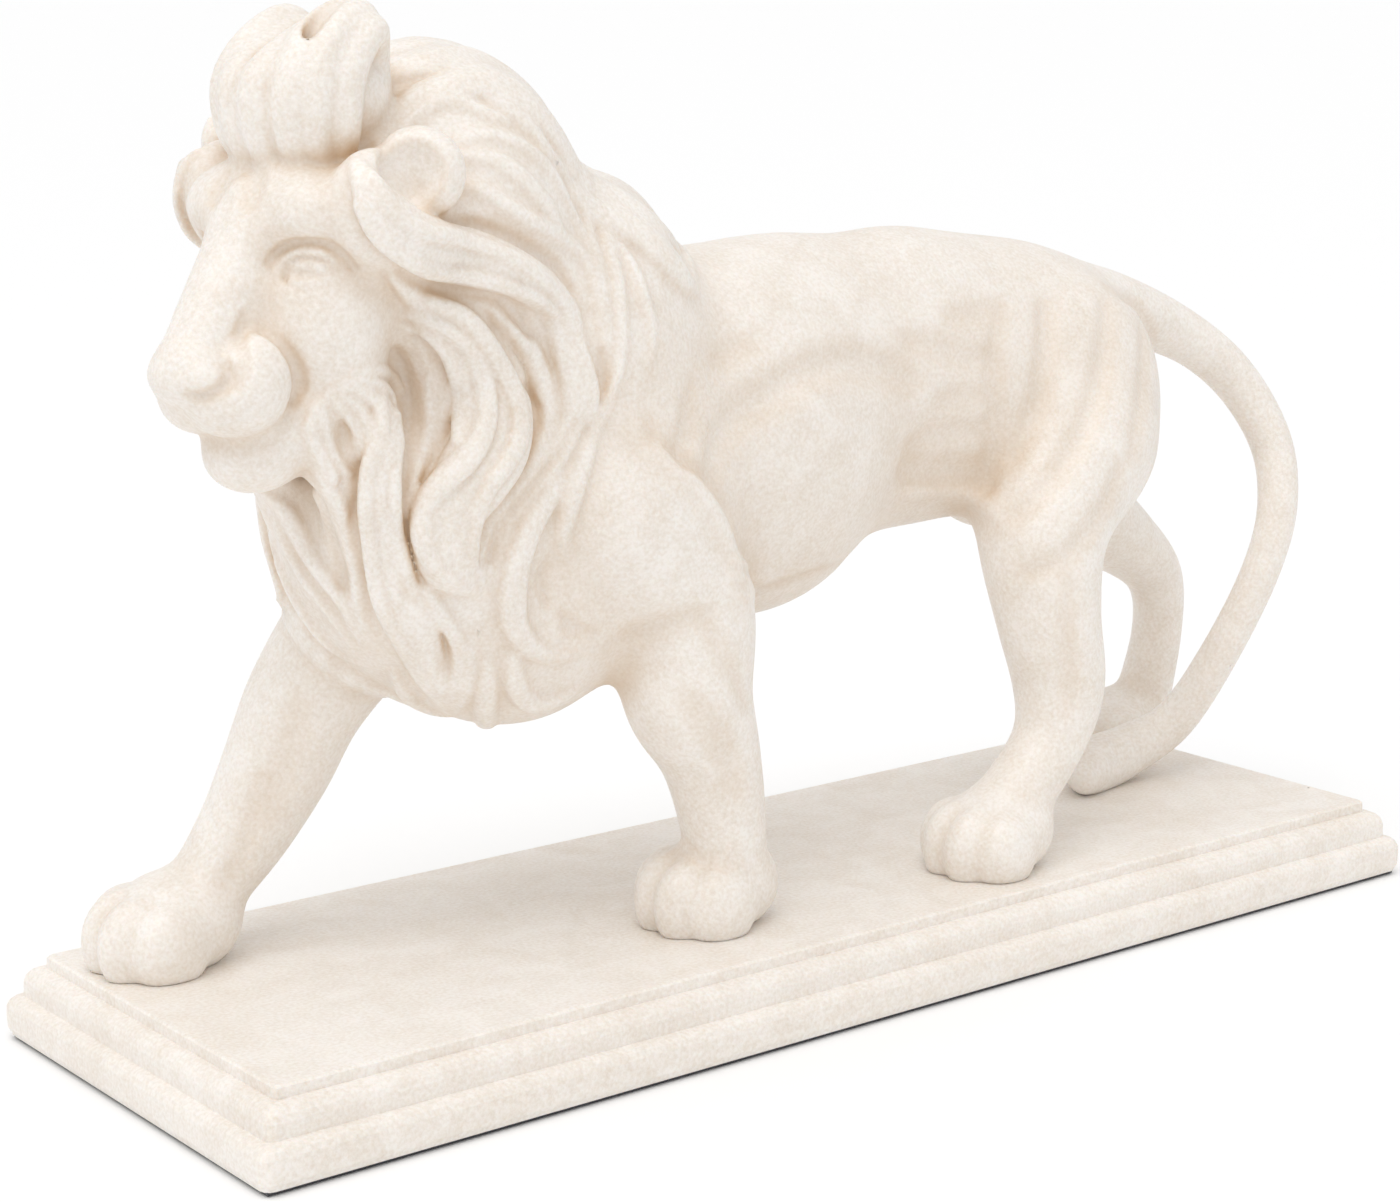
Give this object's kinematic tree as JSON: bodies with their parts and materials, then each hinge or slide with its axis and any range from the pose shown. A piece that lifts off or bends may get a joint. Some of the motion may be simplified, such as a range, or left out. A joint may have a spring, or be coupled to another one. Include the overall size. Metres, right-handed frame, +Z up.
{
  "type": "lion figurine",
  "caption": "Striding maned lion on a long moulded rectangular plinth, cast stone-look ornament for a shelf or desk.",
  "frame": {"origin": "middle of the underside of the felt, where the ornament rests", "axes": "+Z up, -X the way the lion walks, -Y the lion's left flank"},
  "size_m": [0.3, 0.101, 0.1989],
  "materials": {
    "cast_marble": "satin marble-filled cast resin, warm ivory, faintly translucent, with fine grain",
    "plinth_marble": "satin marble-filled cast resin, warm ivory, with fine grain",
    "felt": "dark charcoal felt sheet"
  },
  "bodies": {
    "root": {"lion": "cast_marble", "plinth": "plinth_marble", "felt_pad": "felt"}
  },
  "joints": []
}
